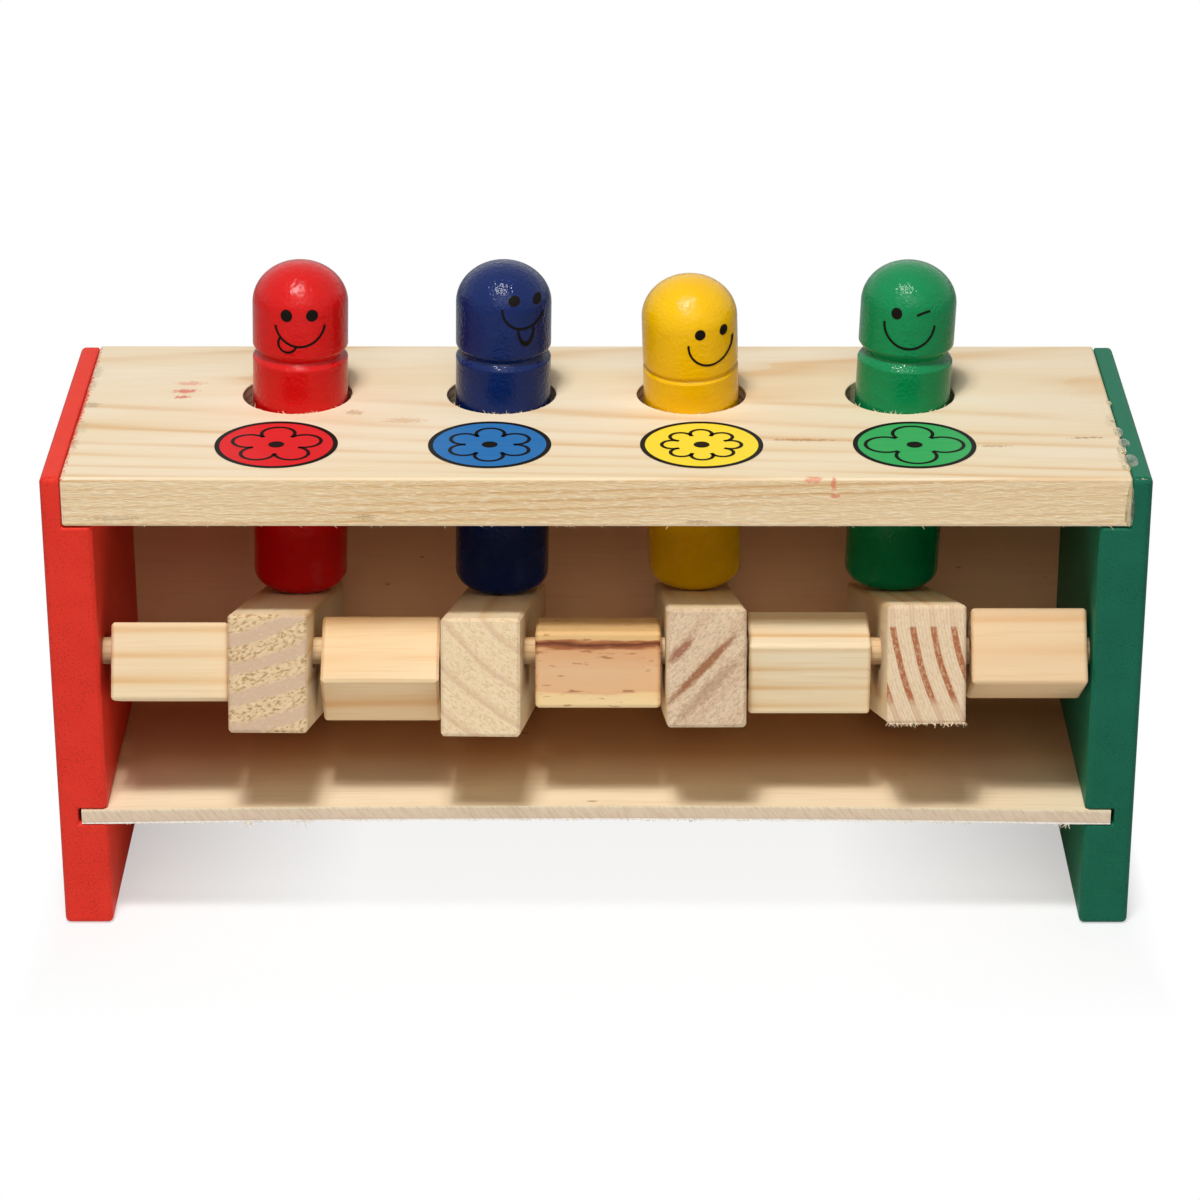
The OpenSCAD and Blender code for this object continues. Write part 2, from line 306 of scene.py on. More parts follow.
# How deep in the bench, in Y, the painted shade on the shelf's veneer begins, and where it is full.
PAINTED_SHADE_FROM = -26 * MM
PAINTED_SHADE_FULL = -6 * MM


def plywood(name, pale="#EDD8B4", warm="#E2C79E", apart=12, brown=None):
    """Basswood veneer: smooth and cream, with a faint straight grain and rare brown flecks.

    brown is a painted shade: the darker, browner tone the veneer is given towards the rear, where
    the board shades the shelf.
    """
    material, put, place = new_material(name)
    veneer = put("Mapping", {"Vector": place, "Scale": (0.04, 1, 1)})
    broad = put("TexNoise", {"Vector": veneer, "Scale": 1 / (7 * MM), "Detail": 4.0})
    fine = put("TexNoise", {"Vector": veneer, "Scale": 1 / (0.7 * MM), "Detail": 2.0})
    face = put("Mix", {0: broad, 6: srgb(warm), 7: srgb(pale)}, data_type="RGBA")
    grained = put("MapRange", {"Value": fine, "From Min": 0.5, "From Max": 0.8, "To Max": 0.3})
    skin = put("Mix", {0: grained, 6: face, 7: srgb("#C9A878")}, data_type="RGBA")
    # Painted shade: deeper in the bench the veneer is mixed towards the brown tone, as if the board
    # shaded it.
    if brown is not None:
        depth = put("SeparateXYZ", {"Vector": place}).outputs["Y"]
        inner = put("MapRange", {"Value": depth, "From Min": PAINTED_SHADE_FROM, "From Max": PAINTED_SHADE_FULL})
        skin = put("Mix", {0: inner, 6: skin, 7: srgb(brown)}, data_type="RGBA")
    # Flecks about 1 mm long, each in a cell of its own.
    cells = put("Mapping", {"Vector": place, "Scale": (0.4, 1, 1)})
    spots = put("TexVoronoi", {"Vector": cells, "Scale": 1 / (apart * MM)})
    fleck = put("MapRange", {"Value": spots, "From Min": 0.02, "From Max": 0.05, "To Min": 0.6,
                             "To Max": 0.0})
    colour = put("Mix", {0: fleck, 6: skin, 7: srgb("#94653E")}, data_type="RGBA")
    relief = put("Bump", {"Strength": 0.08, "Distance": 0.1 * MM, "Height": fine})
    shader = put("BsdfPrincipled", {"Base Color": colour, "Roughness": 0.6, "IOR": 1.5,
                                    "Normal": relief, "Specular IOR Level": 0.25})
    put("OutputMaterial", {"Surface": shader})
    return material


def plywood_edge(name, low, thick, axis, bow=0.0):
    """The sawn edge of the plywood: a pinkish core between face plies, with leaning saw marks.

    The eye sees the lower face ply as a thin white torn line. bow is how far the edge's middle
    is raised over its ends.
    """
    material, put, place = new_material(name)
    parts = put("SeparateXYZ", {"Vector": place})
    from_middle = put("Math", {0: parts.outputs["X"], 1: HALF_SPAN}, operation="DIVIDE")
    squared = put("Math", {0: from_middle, 1: 2.0}, operation="POWER")
    straight = put("Math", {0: squared, 1: bow, 2: parts.outputs[axis]}, operation="MULTIPLY_ADD")
    share = put("MapRange", {"Value": straight, "From Min": low + bow,
                             "From Max": low + bow + thick})
    plies = put("ValToRGB", {"Fac": share}, stops=[(0.0, srgb("#FDFAF3")), (0.1, srgb("#F8F0E4")),
                                                   (0.15, srgb("#D3BBA2")), (0.22, srgb("#DFC8AF")),
                                                   (0.84, srgb("#E4CFB4")), (0.92, srgb("#F0DFBF")),
                                                   (1.0, srgb("#F5E6C8"))])
    # Saw marks, 0.5 mm apart, lean across the edge.
    sawn = put("Mapping", {"Vector": place, "Rotation": (0, radians(-38), 0), "Scale": (1, 1, 5)},
               vector_type="TEXTURE")
    torn = put("TexNoise", {"Vector": sawn, "Scale": 1 / (0.5 * MM), "Detail": 2.0})
    marks = put("MapRange", {"Value": torn, "From Min": 0.45, "From Max": 0.7, "To Max": 0.4})
    colour = put("Mix", {0: marks, 6: plies, 7: srgb("#C4A486")}, data_type="RGBA")
    relief = put("Bump", {"Strength": 0.5, "Distance": 0.3 * MM, "Height": torn})
    shader = put("BsdfPrincipled", {"Base Color": colour, "Roughness": 0.8, "IOR": 1.5,
                                    "Normal": relief, "Specular IOR Level": 0.15})
    put("OutputMaterial", {"Surface": shader})
    return material


def panel_paint(name, tone, deep, dark, pitted, stains=()):
    """Satin paint on sawn pine: smooth on the faces, with open pits on the sawn edges.

    The eye sees an even colour with a slight orange-peel sheen, and dense dark specks where
    the paint sank into the edge.
    """
    material, put, place = new_material(name)
    # Patches of thin paint are 6 mm across, and pits 0.2 to 0.5 mm.
    patches = put("TexNoise", {"Vector": place, "Scale": 1 / (6 * MM), "Detail": 4.0})
    coat = put("Mix", {0: patches, 6: srgb(deep), 7: srgb(tone)}, data_type="RGBA")
    pits = put("TexNoise", {"Vector": place, "Scale": 1 / (0.45 * MM), "Detail": 2.0,
                            "Roughness": 0.6})
    # The pits come in drifts, 5 mm across.
    drifts = put("TexNoise", {"Vector": place, "Scale": 1 / (5 * MM), "Detail": 1.0})
    depth = put("Math", {0: drifts, 1: 0.2, 2: pits}, operation="MULTIPLY_ADD")
    specks = put("MapRange", {"Value": depth, "From Min": 0.64, "From Max": 0.74, "To Max": pitted})
    colour = put("Mix", {0: specks, 6: coat, 7: srgb(dark)}, data_type="RGBA")
    for stain in stains:
        colour = add_stain(put, place, pits, colour, stain)
    sunk = put("Math", {0: 1.0, 1: pits}, operation="SUBTRACT")
    relief = put("Bump", {"Strength": 0.15 + pitted * 0.5, "Distance": 0.25 * MM, "Height": sunk})
    shader = put("BsdfPrincipled", {"Base Color": colour, "Roughness": 0.45, "IOR": 1.5,
                                    "Normal": relief, "Specular IOR Level": 0.07})
    put("OutputMaterial", {"Surface": shader})
    return material


def gloss_paint(name, tone, deep, seat):
    """Dipped enamel on turned beech: deep colour, a small bright highlight, faint turning lines.

    The eye sees a coat that thins a little along the lathe marks, with an orange-peel skin that
    breaks the highlight up.
    """
    material, put, place = new_material(name)
    turned = put("Mapping", {"Vector": place, "Location": seat.translation,
                             "Rotation": seat.to_3x3().to_euler(), "Scale": (4, 4, 1)},
                 vector_type="TEXTURE")
    marks = put("TexNoise", {"Vector": turned, "Scale": 1 / (1.6 * MM), "Detail": 3.0})
    colour = put("Mix", {0: marks, 6: srgb(deep), 7: srgb(tone)}, data_type="RGBA")
    ripples = put("Bump", {"Strength": 0.12, "Distance": 0.2 * MM, "Height": marks})
    # The skin's bumps are 0.7 mm across.
    peel = put("TexNoise", {"Vector": place, "Scale": 1 / (0.7 * MM), "Detail": 2.5})
    relief = put("Bump", {"Strength": 0.9, "Distance": 0.2 * MM, "Height": peel, "Normal": ripples})
    shader = put("BsdfPrincipled", {"Base Color": colour, "Roughness": 0.1, "IOR": 1.5,
                                    "Normal": relief, "Specular IOR Level": 0.2})
    put("OutputMaterial", {"Surface": shader})
    return material


def ink(name, tone, worn):
    """Screen ink on bare pine: a flat film through which a little of the grain shows."""
    material, put, place = new_material(name)
    along = put("Mapping", {"Vector": place, "Scale": (0.06, 1, 1)})
    grain = put("TexNoise", {"Vector": along, "Scale": 1 / (0.9 * MM), "Detail": 3.0})
    colour = put("Mix", {0: grain, 6: srgb(tone), 7: srgb(worn)}, data_type="RGBA")
    shader = put("BsdfPrincipled", {"Base Color": colour, "Roughness": 0.5, "IOR": 1.5,
                                    "Specular IOR Level": 0.05})
    put("OutputMaterial", {"Surface": shader})
    return material


def dried_glue(name):
    """Dried glue pressed out of a joint: milky, half clear and shiny, with small bubbles."""
    material, put, place = new_material(name)
    cloud = put("TexNoise", {"Vector": place, "Scale": 1 / (1.5 * MM), "Detail": 3.0})
    colour = put("Mix", {0: cloud, 6: srgb("#C9CDB8"), 7: srgb("#E9E2CC")}, data_type="RGBA")
    clear = put("MapRange", {"Value": cloud, "From Min": 0.35, "From Max": 0.65, "To Min": 0.95,
                             "To Max": 0.7})
    bubbles = put("TexVoronoi", {"Vector": place, "Scale": 1 / (0.7 * MM)}, feature="SMOOTH_F1")
    relief = put("Bump", {"Strength": 0.15, "Distance": 0.1 * MM, "Height": bubbles})
    shader = put("BsdfPrincipled", {"Base Color": colour, "Roughness": 0.2, "IOR": 1.35,
                                    "Normal": relief, "Transmission Weight": clear})
    put("OutputMaterial", {"Surface": shader})
    return material


def finish_mesh(name, shape, materials, body, replaces=(), smooth=32):
    """Makes a bmesh a named piece at the origin that rides on a body and stands for its nodes."""
    mesh = bpy.data.meshes.new(name)
    shape.to_mesh(mesh)
    shape.free()
    for material in materials:
        mesh.materials.append(material)
    mesh.polygons.foreach_set("use_smooth", [True] * len(mesh.polygons))
    mesh.set_sharp_from_angle(angle=radians(smooth))
    piece = bpy.data.objects.new(name, mesh)
    bpy.context.scene.collection.objects.link(piece)
    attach(piece, body)
    if replaces:
        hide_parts(*replaces)
    return piece


def merged_copy(node):
    """A copy of a CAD node's mesh with its doubles merged and its flat faces whole again."""
    shape = bmesh.new()
    shape.from_mesh(frame["nodes"][node].data)
    bmesh.ops.remove_doubles(shape, verts=shape.verts, dist=0.002 * MM)
    bmesh.ops.dissolve_limit(shape, angle_limit=radians(0.5), verts=shape.verts, edges=shape.edges)
    bmesh.ops.recalc_face_normals(shape, faces=shape.faces)
    return shape


def grain_frame(shape):
    """The frame of a block: X along its longest edges, Z out of its uppermost long side."""
    longest = max(shape.edges, key=lambda edge: edge.calc_length())
    grain = (longest.verts[1].co - longest.verts[0].co).normalized()
    if grain.x + grain.y < 0:
        grain.negate()
    sides = [face for face in shape.faces if abs(face.normal.dot(grain)) < 0.01]
    # The eased edges and the bore's facets are much narrower than a side.
    wide = max(face.calc_area() for face in sides)
    up = max((face for face in sides if face.calc_area() > wide * 0.4),
             key=lambda face: face.normal.z).normal
    axes = (grain, up.cross(grain), up)
    middle = Vector()
    for axis in axes:
        reach = [vert.co.dot(axis) for vert in shape.verts]
        middle += axis * (min(reach) + max(reach)) / 2
    return Matrix.Translation(middle) @ Matrix(axes).transposed().to_4x4()


def round_edges(piece, width, segments):
    """Eases the piece's edges as sanding does, and keeps its flat faces flat in the light."""
    bevel = piece.modifiers.new("eased_edges", "BEVEL")
    bevel.width = width
    bevel.segments = segments
    bevel.limit_method = "ANGLE"
    bevel.angle_limit = radians(30)
    bevel.material = -1
    normals = piece.modifiers.new("flat_faces", "WEIGHTED_NORMAL")
    normals.keep_sharp = True


# Four tones each: early wood, its warmer patches, late wood, fibres or pores.
BOARD_TONES = ("#F4E4C8", "#EFDAB6", "#DEB47E", "#E8CDA4")
EDGE_TONES = ("#EED6B0", "#E7C99C", "#CF9E66", "#F6E6C6")
BOARD_WOOD = {"pith": (15, -122), "ring": 1.67, "swing": 0.5, "lean": -1.2}
# Stains on the board: middle and half size in millimetres, lean in degrees, tone and strength.
BOARD_STAINS = (
    # Red paint run onto the board's end, and old glue beside it.
    ((-106.0, 3.5, 100), (1.1, 40.0, 2.0), 0, "#DC4232", 1.0),
    ((-104.8, 25.0, 100), (1.1, 4.0, 1.0), 0, "#C4B096", 0.5),
    ((-104.9, 17.6, 100), (0.9, 3.0, 1.0), 0, "#C0AC90", 0.5),
    ((-103.9, 6.2, 100), (1.8, 1.7, 1.0), 0, "#B0A084", 0.6),
    ((-104.6, -6.0, 100), (1.4, 4.2, 1.0), 0, "#CDB792", 0.5),
    ((-105.1, -15.0, 100), (1.0, 3.4, 1.0), 0, "#C9A488", 0.6),
    # Red wiped on near the left end.
    ((-84.7, 18.4, 100), (3.1, 1.3, 1.0), 4, "#E08268", 0.5),
    ((-85.3, 14.1, 100), (2.7, 1.3, 1.0), 4, "#D65A46", 0.75),
    ((-85.6, 10.7, 100), (2.0, 0.8, 1.0), 4, "#D65A46", 0.75),
    # Resin streaks and small knots.
    ((41.5, -12.7, 100), (8.0, 0.75, 1.0), -1.5, "#B07C50", 0.7),
    ((99.0, -11.4, 100), (3.8, 0.5, 1.0), 2, "#A2764C", 0.65),
    ((80.0, -15.8, 100), (3.8, 0.6, 1.0), 0, "#B98E5E", 0.6),
    ((-49.6, 2.2, 100), (2.2, 1.4, 1.0), 0, "#B5875A", 0.5),
    ((-39.0, -2.2, 100), (4.6, 1.6, 1.0), 0, "#D09C68", 0.45),
    # Glue rubbed on at the right end, and paint specks on the front's upper rim.
    ((104.8, -2.5, 100), (1.1, 4.2, 1.0), 0, "#D6C2A2", 0.6),
    ((105.2, -22.0, 100), (1.1, 5.0, 1.0), 0, "#CFBB9C", 0.6),
    ((42.8, -32.6, 99.7), (2.2, 1.0, 0.9), 0, "#E07A5C", 0.6),
    ((46.9, -32.8, 98.8), (0.6, 1.0, 1.6), 0, "#E07A5C", 0.75),
    ((47.4, -32.8, 96.2), (1.0, 1.0, 0.6), 0, "#E07A5C", 0.7),
    ((-95.0, -32.8, 91.4), (6.0, 1.0, 0.6), 0, "#B49270", 0.4),
    ((-45.7, -32.8, 91.7), (2.4, 1.0, 0.6), 0, "#A67E54", 0.45),
    ((20.0, -32.8, 90.6), (3.0, 1.0, 0.6), 0, "#9C744C", 0.4),
)


def make_board():
    """The top board: flat-sawn pine with the grain from end to end."""
    shape = merged_copy("top_board")
    seat = Matrix.Translation((BOARD_LOW + BOARD_HIGH) / 2)
    for face in shape.faces:
        face.material_index = 0
        if face.normal.y < -0.9:
            face.material_index = 1
        if abs(face.normal.x) > 0.9:
            face.material_index = 2
    faces = pine("planed_pine_board", seat, BOARD_WOOD, BOARD_TONES, stains=BOARD_STAINS)
    edge = pine("sawn_pine_edge", seat, BOARD_WOOD, EDGE_TONES, rough=0.8, bump=0.8, fleck=0.6,
                torn=True, stains=BOARD_STAINS)
    ends = end_grain("pine_board_ends", seat, BOARD_WOOD,
                     ("#E6CFB0", "#DCC0A0", "#A87450", "#8E6547"))
    piece = finish_mesh("pine_board", shape, [faces, edge, ends], "bench",
                        ["top_board"])
    round_edges(piece, 0.2 * MM, segments=2)


# How much higher the shelf's front edge is in its middle than at its ends.
SHELF_BOW = 1.0 * MM


def make_shelf():
    """The plywood shelf: its front edge bows up a little between the end panels."""
    shape = merged_copy("shelf")
    middle = (SHELF_LOW + SHELF_HIGH) / 2
    half = (SHELF_HIGH - SHELF_LOW) / 2
    along = [edge for edge in shape.edges
             if abs((edge.verts[0].co - edge.verts[1].co).normalized().x) > 0.9]
    bmesh.ops.subdivide_edges(shape, edges=along, cuts=31, use_grid_fill=True)
    inward = [edge for edge in shape.edges
              if abs((edge.verts[0].co - edge.verts[1].co).normalized().y) > 0.9]
    bmesh.ops.subdivide_edges(shape, edges=inward, cuts=7, use_grid_fill=True)
    for vert in shape.verts:
        span = max(0.0, 1 - (vert.co.x / HALF_SPAN) ** 2)
        front = max(0.0, (middle.y - vert.co.y) / half.y)
        vert.co.z += SHELF_BOW * span * front ** 2
    shape.normal_update()
    for face in shape.faces:
        face.material_index = 0 if abs(face.normal.z) > 0.5 else 1
    edge_skin = plywood_edge("sawn_ply_shelf_edge", SHELF_LOW.z, SHELF_HIGH.z - SHELF_LOW.z, "Z",
                             SHELF_BOW)
    # The brown tone is painted shade that darkens the shelf towards the rear, under the board.
    skin = plywood("basswood_ply_shelf", "#F6E4C4", "#EDD5B0", brown="#DDAA7A")
    finish_mesh("ply_shelf", shape, [skin, edge_skin], "bench", ["shelf"])


def make_back():
    """The plywood back: veneer on its faces, with painted shade making it browner and darker
    inside, and plies along its edges.
    """
    shape = merged_copy("back_panel")
    for face in shape.faces:
        face.material_index = 0 if face.normal.y > 0.5 else 1
        if face.normal.y < -0.5:
            face.material_index = 2
    edge_skin = plywood_edge("sawn_ply_back_edge", BACK_LOW.y, BACK_HIGH.y - BACK_LOW.y, "Y")
    # The inside face is painted browner and darker than the outer veneer: painted shade from the
    # board and shelf.
    inside = plywood("painted_shade_ply_back", "#F2BE8E", "#E8AE7C", apart=6)
    finish_mesh("ply_back", shape, [plywood("basswood_ply_back"), edge_skin, inside], "bench",
                ["back_panel"])


def make_panel(side, node, paint, edge_paint):
    """An end panel: painted pine board with its grooves and sockets, its edges eased."""
    shape = merged_copy(node)
    for face in shape.faces:
        face.material_index = 1 if abs(face.normal.y) > 0.5 else 0
    piece = finish_mesh(side + "_panel", shape, [paint, edge_paint], "bench", [node])
    round_edges(piece, 0.5 * MM, segments=3)


# Tones of the blocks' sides, in the board's order.
PALE_SIDES = ("#F0DDBB", "#E8CFA5", "#D9A868", "#DFC08F")
WARM_SIDES = ("#ECD0A8", "#E5C494", "#D9A468", "#DBAF7C")
PINK_SIDES = ("#E6CAA2", "#E1C096", "#D8A876", "#D9B286")
FIRST_SIDES = ("#EAD6B4", "#E2C89E", "#D4A264", "#DABA8A")
# The dark lines on the yellow rocker's front end.
YELLOW_STRIPES = (
    ((-33, 5.2, 3.5), (3.0, 4.3, 1.15), -46, "#9A6248", 0.9),
    ((-33, 0.9, -0.1), (3.0, 11.5, 1.05), -45.5, "#99623F", 0.95),
    ((-33, -0.6, -4.1), (3.0, 12.0, 1.5), -45, "#A98264", 0.6),
)
# Each block's rings, as its own end grain shows them: where the pith is, left and up of the
# block's middle, and how wide a ring is, in millimetres.
ROCKERS = {
    "red": {"wood": {"pith": (17, 58.6), "ring": 6.0, "swing": 0.2}, "sides": PALE_SIDES,
            "tones": ("#E4C89E", "#DCBE94", "#CBAD95", "#966C38"), "band": (0.42, 0.6, 0.9, 1.0),
            "pores": 0.7, "pore_size": 0.55, "contrast": 0.9, "smooth_late": 0.8},
    "blue": {"wood": {"pith": (-38, 46), "ring": 6.4, "swing": 0.2}, "sides": PALE_SIDES,
             "tones": ("#EDD6B0", "#E6CDA8", "#D6B595", "#C09A62"), "band": (0.7, 0.88, 0.92, 1.0),
             "pores": 0.4, "pore_size": 0.5, "contrast": 0.85},
    "yellow": {"wood": {"pith": (66, 60), "ring": 6.0, "swing": 0.3}, "sides": PALE_SIDES,
               "tones": ("#DFC6A6", "#D6BB9B", "#C6A284", "#9A795C"), "band": (0.5, 0.8, 0.9, 1.0),
               "pores": 0.4, "pore_size": 0.5, "contrast": 0.4, "stripes": YELLOW_STRIPES},
    "green": {"wood": {"pith": (-60, 16), "ring": 4.0, "swing": 0.15}, "sides": PALE_SIDES,
              "tones": ("#E9D2B0", "#E2C8A6", "#A4562A", "#BF9670"), "band": (0.64, 0.7, 0.96, 1.0),
              "pores": 0.3, "pore_size": 0.5, "contrast": 1.0, "fade_above": 7.4},
}
SPACERS = {
    1: {"wood": {"pith": (10, 40), "ring": 4.8, "swing": 0.2}, "sides": FIRST_SIDES},
    2: {"wood": {"pith": (-40, 30), "ring": 9.0, "swing": 0.5}, "sides": WARM_SIDES},
    3: {"wood": {"pith": (8, 9), "ring": 3.0}, "sides": WARM_SIDES},
    4: {"wood": {"pith": (20, 44), "ring": 3.6, "swing": 0.3}, "sides": PALE_SIDES},
    5: {"wood": {"pith": (-22, 34), "ring": 6.5, "swing": 0.3}, "sides": PINK_SIDES},
}
SPACER_ENDS = ("#E6CFB0", "#DCC0A0", "#B07F58", "#8E6547")


def make_block(name, node, body, block):
    """A rocker or spacer: pine bar, sawn to length, with eased edges."""
    shape = merged_copy(node)
    seat = grain_frame(shape)
    grain = seat.to_3x3() @ Vector((1, 0, 0))
    # A rocker's sawn ends reach over the eased edges round them, as on the real ones.
    reach = 0.6 if node.startswith("rocker") else 0.9
    for face in shape.faces:
        face.material_index = 1 if abs(face.normal.dot(grain)) > reach else 0
    if node == "spacer_3":
        sides = bark_pine(name + "_bark_pine", seat)
    else:
        sides = pine(name + "_pine_sides", seat, block["wood"], block["sides"], bump=0.35,
                     fleck=0.45)
    looks = {key: value for key, value in block.items() if key not in ("wood", "sides", "tones")}
    tones = block.get("tones", SPACER_ENDS)
    ends = end_grain(name + "_sawn_ends", seat, block["wood"], tones, **looks)
    piece = finish_mesh(name, shape, [sides, ends], body, [node])
    round_edges(piece, 0.3 * MM, segments=3)


def peg_frame(colour):
    """The frame of a peg: its foot's middle, with Z along its own line, and its length."""
    axis = next(Vector(joint["axis"]) for joint in frame["joints"]
                if joint["child"] == colour + "_peg")
    verts = [vert.co for vert in frame["nodes"]["peg_" + colour].data.vertices]
    middle = sum(verts, Vector()) / len(verts)
    reach = [(vert - middle).dot(axis) for vert in verts]
    turn = Vector((0, 0, 1)).rotation_difference(axis).to_matrix().to_4x4()
    return Matrix.Translation(middle + axis * min(reach)) @ turn, max(reach) - min(reach)


def peg_radius(height, length, depth):
    """How far a peg's surface is from its line at a height above its foot."""
    if height > length - PEG_DOME:
        share = min((height - (length - PEG_DOME)) / PEG_DOME, 1)
        return PEG_RADIUS * sqrt(1 - share * share)
    if height < PEG_FOOT_ROUND:
        share = 1 - height / PEG_FOOT_ROUND
        return PEG_RADIUS - PEG_FOOT_ROUND * (1 - sqrt(1 - share * share))
    off = abs(height - (length - NECK_FROM_TOP)) / (NECK_SLOPE * depth)
    # The groove is a V with a narrow rounded bottom and rounded shoulders.
    fall = depth * NECK_SHARP * (1 - sqrt(off * off + NECK_BOTTOM_ROUND))
    return PEG_RADIUS - (fall * fall / (fall + NECK_SHOULDER) if fall > 0 else 0)


# How many flats a peg has round it, and how many steps its foot, half its groove and its dome have.
PEG_SIDES = 72
FOOT_STEPS = 6
NECK_STEPS = 12
DOME_STEPS = 16


def peg_outline(length, depth):
    """The points from the foot's middle, up the side and over the dome, in the peg's frame."""
    neck = length - NECK_FROM_TOP
    steps = [PEG_FOOT_ROUND * (1 - cos(pi / 2 * i / FOOT_STEPS)) for i in range(FOOT_STEPS + 1)]
    # Two more rings divide the plain side below the groove.
    steps += [neck * 0.3, neck * 0.6]
    steps += [neck + NECK_SLOPE * depth * (i / NECK_STEPS)
              for i in range(-NECK_STEPS - 2, NECK_STEPS + 3)]
    steps += [length - PEG_DOME * (1 - sin(pi / 2 * i / DOME_STEPS)) for i in range(DOME_STEPS + 1)]
    flat_foot = [Vector((0, 0, 0)), Vector((PEG_RADIUS - PEG_FOOT_ROUND, 0, 0))]
    side = [Vector((peg_radius(h, length, depth), 0, h)) for h in sorted(steps)[1:-1]]
    return flat_foot + side + [Vector((0, 0, length))]


def make_peg(colour, paint):
    """A turned peg: domed head, neck groove and rounded foot, spun round its own line."""
    seat, length = peg_frame(colour)
    shape = bmesh.new()
    points = [shape.verts.new(point) for point in peg_outline(length, NECK_DEPTH[colour])]
    edges = [shape.edges.new(pair) for pair in zip(points, points[1:])]
    bmesh.ops.spin(shape, geom=points + edges, axis=(0, 0, 1), cent=(0, 0, 0), angle=tau,
                   steps=PEG_SIDES, use_merge=True)
    bmesh.ops.remove_doubles(shape, verts=shape.verts, dist=0.001 * MM)
    bmesh.ops.recalc_face_normals(shape, faces=shape.faces)
    bmesh.ops.transform(shape, matrix=seat, verts=shape.verts)
    finish_mesh(colour + "_peg_enamel", shape, [paint], colour + "_peg",
                ["peg_" + colour], smooth=50)


# The drawn faces, in millimetres across the peg and down from its top. An eye also has its
# half width and half height. narrow says how many times longer than round a tongue is.
FACES = {
    "red": {"eyes": [(-2.2, 8.1, 1.2, 1.3), (3.0, 8.0, 1.2, 1.25)],
            "smile": [(-4.5, 10.4), (0.1, 14.7), (5.5, 10.3)],
            "tongue": [(-3.5, 13.0), (-2.3, 16.0), (-0.2, 14.6)]},
    "blue": {"eyes": [(2.3, 5.1, 1.2, 1.0), (6.9, 5.4, 0.82, 1.0)],
             "smile": [(-0.1, 6.7), (4.3, 11.0), (8.2, 8.2)],
             "tongue": [(3.2, 10.9), (4.9, 14.3), (6.3, 11.0)], "narrow": 2.2},
    "yellow": {"eyes": [(2.0, 8.2, 1.1, 1.15), (6.8, 8.3, 0.82, 1.15)],
               "smile": [(-0.4, 10.4), (3.6, 15.3), (8.6, 10.5)]},
    "green": {"eyes": [(-3.1, 7.9, 1.08, 1.22)], "wink": [(1.0, 8.1), (2.4, 7.5), (3.7, 7.2)],
              "smile": [(-5.4, 9.9), (-0.1, 15.3), (4.8, 10.4)]},
}
LINE_WIDTH = 0.48 * MM
# The ink stands a little off the enamel, and stops just short of the peg's outline.
FACE_FILM = INK_FILM * 1.4
FACE_REACH = 0.999


def circle_through(a, b, c):
    """The centre and radius of the circle through three points in the drawing plane."""
    d = 2 * (a.x * (b.y - c.y) + b.x * (c.y - a.y) + c.x * (a.y - b.y))
    aa, bb, cc = a.length_squared, b.length_squared, c.length_squared
    x = (aa * (b.y - c.y) + bb * (c.y - a.y) + cc * (a.y - b.y)) / d
    y = (aa * (c.x - b.x) + bb * (a.x - c.x) + cc * (b.x - a.x)) / d
    centre = Vector((x, y))
    return centre, (a - centre).length


def draw_arc(shape, centre, radius, start, sweep, width, steps):
    """A line of the given width along an arc, made by spinning one short edge."""
    outward = Vector((cos(start), sin(start), 0))
    centre = Vector((centre.x, centre.y, 0))
    ends = [shape.verts.new(centre + outward * (radius + side * width / 2)) for side in (-1, 1)]
    edge = shape.edges.new(ends)
    before = set(shape.verts) - set(ends)
    bmesh.ops.spin(shape, geom=ends + [edge], axis=(0, 0, 1), cent=centre, angle=sweep, steps=steps,
                   use_merge=abs(sweep) > tau - 0.01)
    return [vert for vert in shape.verts if vert not in before]


def draw_dot(shape, x, y, radius, stretch=1.0):
    """A filled dot, with rings and a middle point so that it can follow a curved surface."""
    place = Matrix.Translation((x, y, 0)) @ Matrix.Diagonal((1, stretch, 1, 1))
    dot = bmesh.ops.create_circle(shape, cap_ends=True, segments=24, radius=radius, matrix=place)
    faces = list({face for vert in dot["verts"] for face in vert.link_faces})
    bmesh.ops.inset_region(shape, faces=faces, thickness=radius * 0.4)
    bmesh.ops.inset_region(shape, faces=faces, thickness=radius * 0.3)
    bmesh.ops.poke(shape, faces=faces)


def draw_curve(shape, points, width, steps):
    """A line of the given width through three points, turning the way they go."""
    centre, radius = circle_through(*points)
    angles = [atan2(point.y - centre.y, point.x - centre.x) for point in points]
    sweep = (angles[2] - angles[0]) % tau
    if (angles[1] - angles[0]) % tau > sweep:
        sweep -= tau
    return draw_arc(shape, centre, radius, angles[0], sweep, width, steps)


